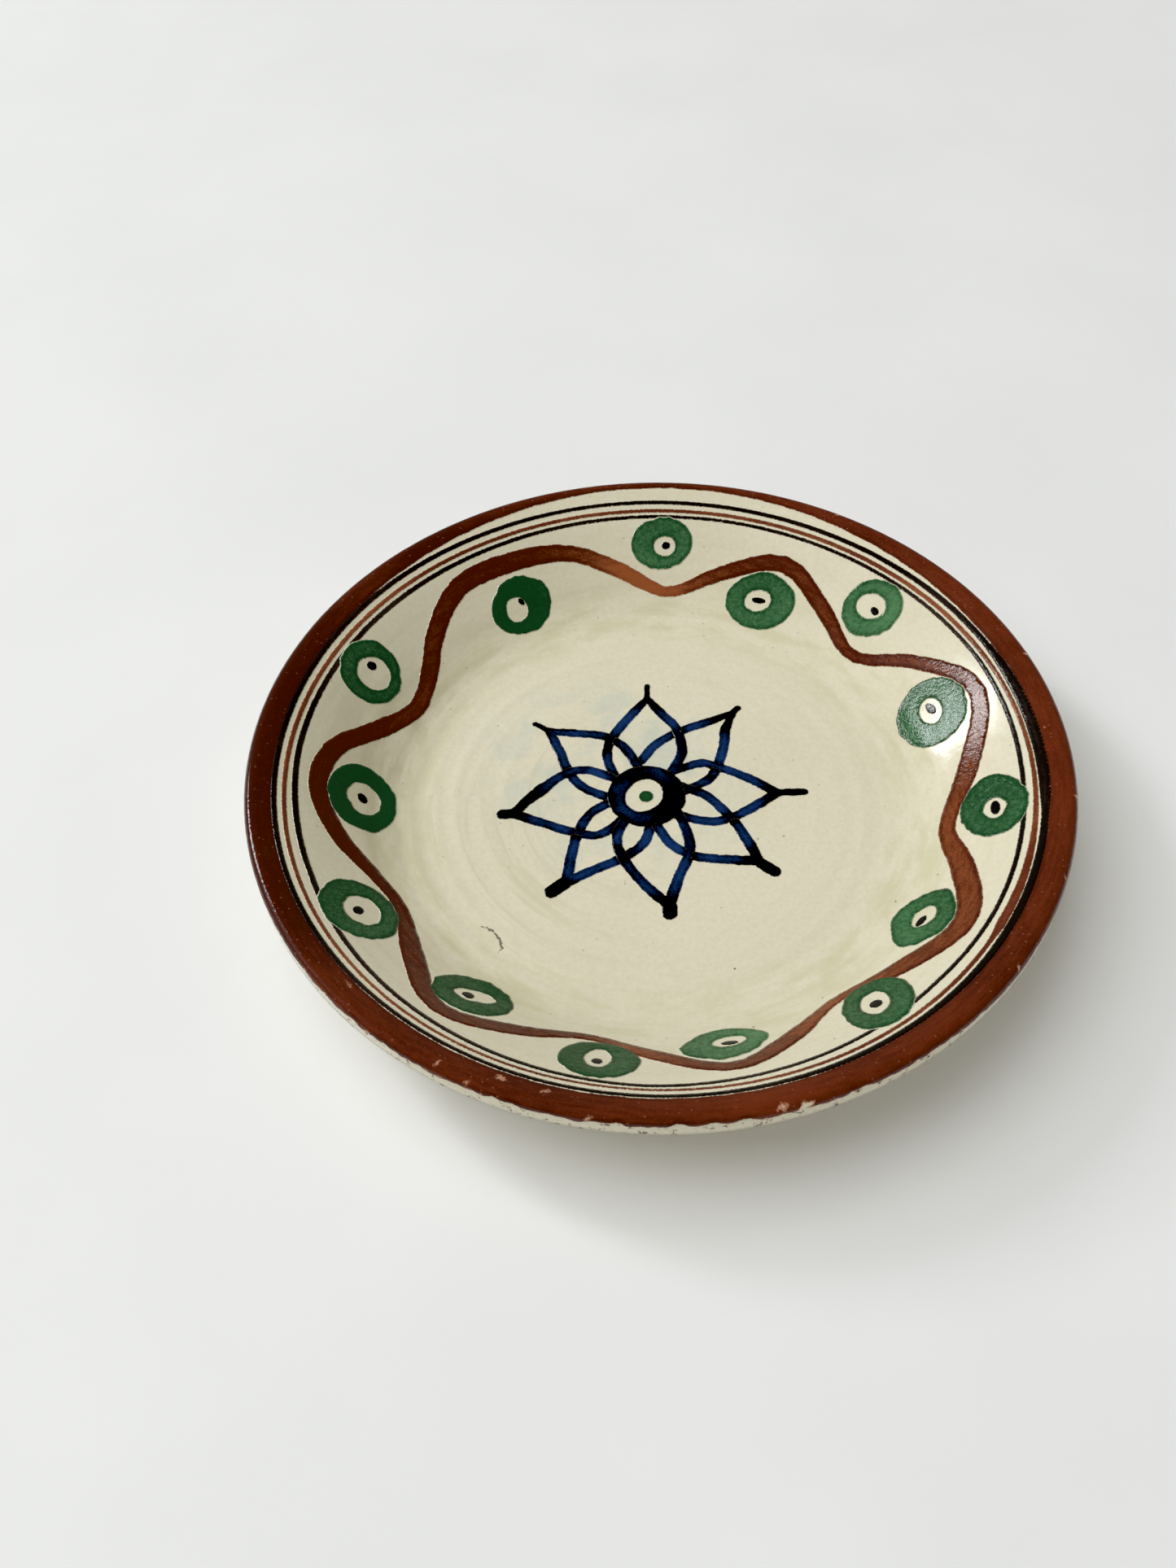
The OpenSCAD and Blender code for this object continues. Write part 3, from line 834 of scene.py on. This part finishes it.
def make_rim_band(material):
    """The broad band, which wraps over the top of the lip and part of the way down its outer face."""
    thick = 0.14
    wrap = 4.2
    step = 0.1
    from_r = RIM_R - 20
    shown = inside_chain[: lip_low + 1]
    path = resampled(shown[shown[:, 0] > from_r], step, False)
    run = np.concatenate([[0], np.cumsum(np.linalg.norm(np.diff(path, axis=0), axis=1))])
    summit = int(np.argmax(path[:, 1]))
    along = np.gradient(path, axis=0)
    along /= np.linalg.norm(along, axis=1)[:, None]
    inner = min(top_outlines("rim_band"), key=lambda loop: np.median(np.hypot(*loop.T)))
    inner_a = np.degrees(np.arctan2(inner[:, 1], inner[:, 0]))
    order = np.argsort(inner_a)
    inner_a, inner_r = inner_a[order], np.hypot(*inner[order].T)
    across = 0.5 - 0.5 * np.cos(np.linspace(0, math.pi, 14))
    unsteady = waves(41, 14, 3, 16)
    turns = np.linspace(-180, 180, 720, endpoint=False)
    upper, lower, facts = [], [], []
    for a in turns:
        c, d = math.cos(math.radians(a)), math.sin(math.radians(a))
        wander = unsteady(RIM_R * c, RIM_R * d)
        start_r = np.interp(a, inner_a, inner_r, period=360) - 0.1 + 0.14 * wander
        start = np.interp(start_r, path[:summit, 0], run[:summit])
        end = run[summit] + wrap + 0.7 * wander - 1.2 * bump(turn_between(a, 265), 0, 50)
        at = start + (end - start) * across
        r, z = np.interp(at, run, path[:, 0]), np.interp(at, run, path[:, 1])
        out_r, out_z = -np.interp(at, run, along[:, 1]), np.interp(at, run, along[:, 0])
        z = z + relief(r * c, r * d)
        worn = band_wear(a, at - run[summit], r * c, r * d)
        edge = np.minimum(at - start, end - at)
        for rows, lift in ((upper, paint_height(thick, edge, worn)), (lower, -UNDERSIDE)):
            far = r + out_r * lift
            rows.append(np.stack([far * c, far * d, z + out_z * lift], 1))
        # Painted shade: the band's load is made darker round the left, the side turned from the light.
        painted_shade_left = 0.6 * bump(turn_between(a, 180), 0, 55)
        light = 0.16 * bump(turn_between(a, 275), 0, 45)
        load = 0.56 + 0.2 * hand(r * c, r * d) + painted_shade_left - light
        facts.append(np.stack([edge, load, worn], 1))
    faces = ring_faces(len(turns), len(across))
    facts = np.tile(np.concatenate(facts), (2, 1))
    attributes = {"edge": facts[:, 0], "load": facts[:, 1], "worn": facts[:, 2]}
    piece = make_piece("brushed_rim_band", np.concatenate(upper + lower), faces, attributes)
    place(piece, "rim_brown", material, "rim_band")


def ring_loops(node, spacing, drift, width):
    """A turned line's two outlines, off the CAD ring's own middle by drift(a) and width(a) across."""
    widest = sorted(top_outlines(node), key=lambda p: np.ptp(p[:, 0]))[-2:]
    low, high = [np.median(np.hypot(*loop.T)) for loop in widest]
    count = int(2 * math.pi * high / (0.6 * spacing))
    turn = np.linspace(0, 360, count, endpoint=False)
    unit = np.stack([np.cos(np.radians(turn)), np.sin(np.radians(turn))], 1)
    middle = (low + high) / 2 + drift(turn)
    faded = 0.15
    half = width(turn) / 2 + faded
    return [unit * (middle + half)[:, None], unit * (middle - half)[:, None]]


def swings(rows):
    """A smooth function of direction from rows of [direction, value]."""
    turns, values = np.array(rows, float).T
    turns = np.concatenate([turns - 360, turns, turns + 360])
    values = np.tile(values, 3)
    fine = np.arange(-360, 720.5, 1.0)
    soft = np.convolve(np.interp(fine, turns, values), np.hanning(5) / np.hanning(5).sum(), "same")
    return lambda a: np.interp(np.asarray(a) % 360, fine, soft)


def make_lines():
    """The three turned lines under the rim, each as unsteady as a hand-held brush on a wheel."""
    black = paint_material("line_black_paint", (0.05, 0.03, 0.024), (0.008, 0.005, 0.005), feather=0.22)
    brown = paint_material("line_brown_paint", (0.30, 0.10, 0.045), (0.12, 0.025, 0.012), feather=0.25)
    outer_drift = swings([[0, 0.1], [60, -0.1], [110, 0.3], [150, 0.6], [205, 0.5], [235, 0], [300, 0]])
    outer_width = swings([[-10, 1.9], [-7, 2.9], [5, 3.2], [14, 2.9], [24, 1.8], [60, 1.4], [100, 1.2],
                          [150, 1.7], [200, 1.5], [270, 1.3], [300, 1.8], [330, 2.2]])
    brown_drift = swings([[0, 0.1], [90, -0.2], [180, 0.2], [270, 0]])
    brown_width = swings([[0, 1.2], [45, 1.3], [90, 1.1], [180, 1.4], [265, 0.9], [300, 1.2], [322, 1.4],
                          [325, 1.4], [328, 3], [336, 2.4], [348, 1.5]])
    inner_drift = swings([[0, -0.2], [22, 0.9], [90, 0.6], [180, 0.3], [205, -1.1], [225, -0.3], [270, 1],
                          [300, -0.7], [315, -1.5], [330, -0.8]])
    inner_width = swings([[0, 1.3], [30, 1.1], [90, 1], [150, 1.5], [190, 1.8], [230, 1.5], [270, 1.2],
                          [330, 1.3]])
    fine = 0.6
    outer = ring_loops("outer_black_line", fine, outer_drift, outer_width)
    middle = ring_loops("brown_line", fine, brown_drift, brown_width)
    inner = ring_loops("inner_black_line", fine, inner_drift, inner_width)
    make_film("outer_black_line", "line_black", black, outer, thick=0.16, spacing=fine, seed=42,
              load=flat_load(0.85, 0.25), others=[top_outlines("rim_band")])
    make_film("brown_line", "line_brown", brown, middle, thick=0.08, spacing=fine, seed=43,
              load=flat_load(0.6, 0.35))
    make_film("inner_black_line", "line_black", black, inner, thick=0.08, spacing=fine, seed=44,
              load=flat_load(0.75, 0.35))


def make_bands():
    """The rim's broad band and the wave below the lines."""
    rim = paint_material("rim_band_paint", (0.17, 0.034, 0.013), (0.06, 0.010, 0.005),
                         feather=0.3, chips=True)
    make_rim_band(rim)
    wave = paint_material("wave_band_paint", (0.33, 0.098, 0.036), (0.08, 0.0135, 0.006), feather=0.3)
    wide = 0.9

    def pressed(x, y):
        """The brush was pressed harder on the right."""
        a = np.degrees(np.arctan2(y, x))
        return 0.5 * bump(turn_between(a, -22), 0, 32) + 0.2 * bump(turn_between(a, 120), 0, 60)

    make_film("wave_band", "wave_brown", wave, brushed_loops("wave_band", wide, 45, 0.5, 0.11, pressed),
              thick=0.14, spacing=wide, seed=45, load=wave_load)


def make_eyes(green):
    """The green rings with their dark pupils."""
    black = paint_material("pupil_paint", (0.02, 0.02, 0.025), (0.004, 0.004, 0.006), feather=0.2)
    for i in range(EYES):
        ring, pupil = f"green_eye_{i + 1}", f"eye_pupil_{i + 1}"
        make_film(ring, "eye_green", green, brushed_loops(ring, 0.7, 50 + i, 0.3, 0.3),
                  thick=0.2, spacing=0.7, seed=50 + i, load=flat_load(EYE_LOADS_AND_SHADE[i], 0.25))
        make_film(pupil, "pupil_black", black, brushed_loops(pupil, 0.4, 70 + i, 0.15, 0.1),
                  thick=0.12, spacing=0.4, seed=70 + i)


def make_flower(green):
    """The eight petals drawn in two strokes each, and the ring and dot at their middle."""
    blue = paint_material("flower_blue_paint", (0.013, 0.045, 0.16), (0.001, 0.001, 0.004),
                          feather=0.25, streak=(0.9, 0.9, 1.0))
    names = [f"petal_{i + 1}" for i in range(PETALS)] + ["flower_ring"]
    ring_low, ring_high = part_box("flower_ring")
    centre = (ring_low + ring_high) / 2 / MM

    def heavy_tips(x, y):
        """The brush was pressed at the near petals' tips, lifted off the far ones to a point, and
        rested once beside the left petal."""
        out = np.hypot(x - centre[0], y - centre[1])
        rest = np.hypot(x + 38, y - 2.5)
        turn = np.degrees(np.arctan2(y - centre[1], x - centre[0]))
        far = bump(turn_between(turn, 95), 0, 65)
        near = 1 - far
        pressed = 0.14 * near * smoothstep(33, 41, out)
        lifted = 0.65 * far * smoothstep(38, 46, out)
        return pressed - lifted + 0.7 * bump(rest, 0, 4)

    loops = {name: brushed_loops(name, 0.6, 90 + i, 0.6, 0.16, heavy_tips) for i, name in enumerate(names)}
    load_for = blue_load(names, centre)
    for i, name in enumerate(names):
        others = [loops[other] for other in names if other != name]
        make_film(name, "flower_blue", blue, loops[name], thick=0.14 + 0.004 * i, spacing=0.6, seed=90 + i,
                  load=load_for(name), others=others)
    dot = "flower_centre_dot"
    make_film(dot, "eye_green", green, brushed_loops(dot, 0.4, 101, 0.1, 0.1),
              thick=0.12, spacing=0.4, seed=101, load=flat_load(0.9))


# ---- stage ----

def make_floor():
    """A plain pale table top."""
    sh = Shader("pale_floor")
    colour = sh.mix(sh.ramp(sh.noise(120, 3, 0.5), 0.3, 0.7), (0.88, 0.89, 0.90), (0.91, 0.92, 0.93))
    sh.finish(colour, 0.55, sh.noise(2.5, 3, 0.6), 0.03)
    half = 6000
    corners = [(-half, -half, 0), (half, -half, 0), (half, half, 0), (-half, half, 0)]
    floor = make_piece("floor", corners, [(0, 1, 2, 3)], smooth=False)
    floor.data.materials.append(sh.material)


def make_light(name, direction, *, distance, width, height, power, colour, mirrored):
    """A soft panel that faces the plate. Only a mirrored one shows in the glaze."""
    panel = bpy.data.lights.new(name, "AREA")
    panel.shape = "RECTANGLE"
    panel.size, panel.size_y = width, height
    panel.energy = power
    panel.color = colour
    light = bpy.data.objects.new(name, panel)
    aim = Vector(direction).normalized()
    light.location = aim * distance
    light.rotation_euler = aim.to_track_quat("Z", "Y").to_euler()
    light.visible_glossy = mirrored
    bpy.context.scene.collection.objects.link(light)


def make_lights():
    """Daylight from a window behind to the left, and the room's own pale light."""
    daylight = (0.96, 0.985, 1.0)
    make_light("window", (-0.70, 0.42, 0.575), distance=5.0, width=0.75, height=1.3, power=60,
               colour=daylight, mirrored=True)
    make_light("window_glow", (-0.80, 0.20, 0.56), distance=5.0, width=3.0, height=2.4, power=14,
               colour=daylight, mirrored=True)
    make_light("ceiling", (-0.43, 0.04, 0.90), distance=5.0, width=4.5, height=4.5, power=155,
               colour=(0.98, 0.99, 1.0), mirrored=False)
    make_light("front", (0.0, -0.80, 0.60), distance=4.0, width=3.0, height=3.0, power=17,
               colour=(1.0, 0.995, 0.98), mirrored=False)
    world = bpy.data.worlds.new("room")
    world.use_nodes = True
    background = world.node_tree.nodes["Background"]
    background.inputs["Color"].default_value = (0.88, 0.85, 0.74, 1)
    background.inputs["Strength"].default_value = 0.28
    bpy.context.scene.world = world


def make_camera():
    """A phone's wide lens held over the near edge, as far out and up as the rim's own radius says."""
    data = bpy.data.cameras.new("camera")
    data.sensor_width = 36
    data.lens = 33.6
    camera = bpy.data.objects.new("camera", data)
    rim_centre = Vector((0, 0, TOP_Z)) * MM
    camera.location = rim_centre + Vector((0, -2.319, 2.698)) * RIM_R * MM
    target = rim_centre + Vector((-0.161, -0.127, 0)) * RIM_R * MM
    look = (camera.location - target).to_track_quat("Z", "Y")
    roll = math.radians(-2.48)
    camera.rotation_euler = look.to_euler()
    camera.rotation_euler.rotate_axis("Z", roll)
    bpy.context.scene.collection.objects.link(camera)
    bpy.context.scene.camera = camera


def make_tone():
    """Plain colours, with the deep blacks of a contrasty camera."""
    view = bpy.context.scene.view_settings
    view.view_transform = "Standard"
    view.use_curve_mapping = True
    view.curve_mapping.black_level = (0.012, 0.012, 0.012)
    view.curve_mapping.update()


make_slip_inside(slip_material("slip_inside_glazed", False))
make_slip_outside(slip_material("slip_outside_glazed", True))
make_clay_body(clay_material())
make_lines()
make_bands()
green_paint = paint_material("green_paint", (0.10, 0.25, 0.11), (0.011, 0.064, 0.020),
                             feather=0.4, streak=(1.3, 1.3, 1.0), bumps=0.17)
make_eyes(green_paint)
make_flower(green_paint)
make_floor()
make_lights()
make_camera()
make_tone()

bpy.context.view_layer.update()
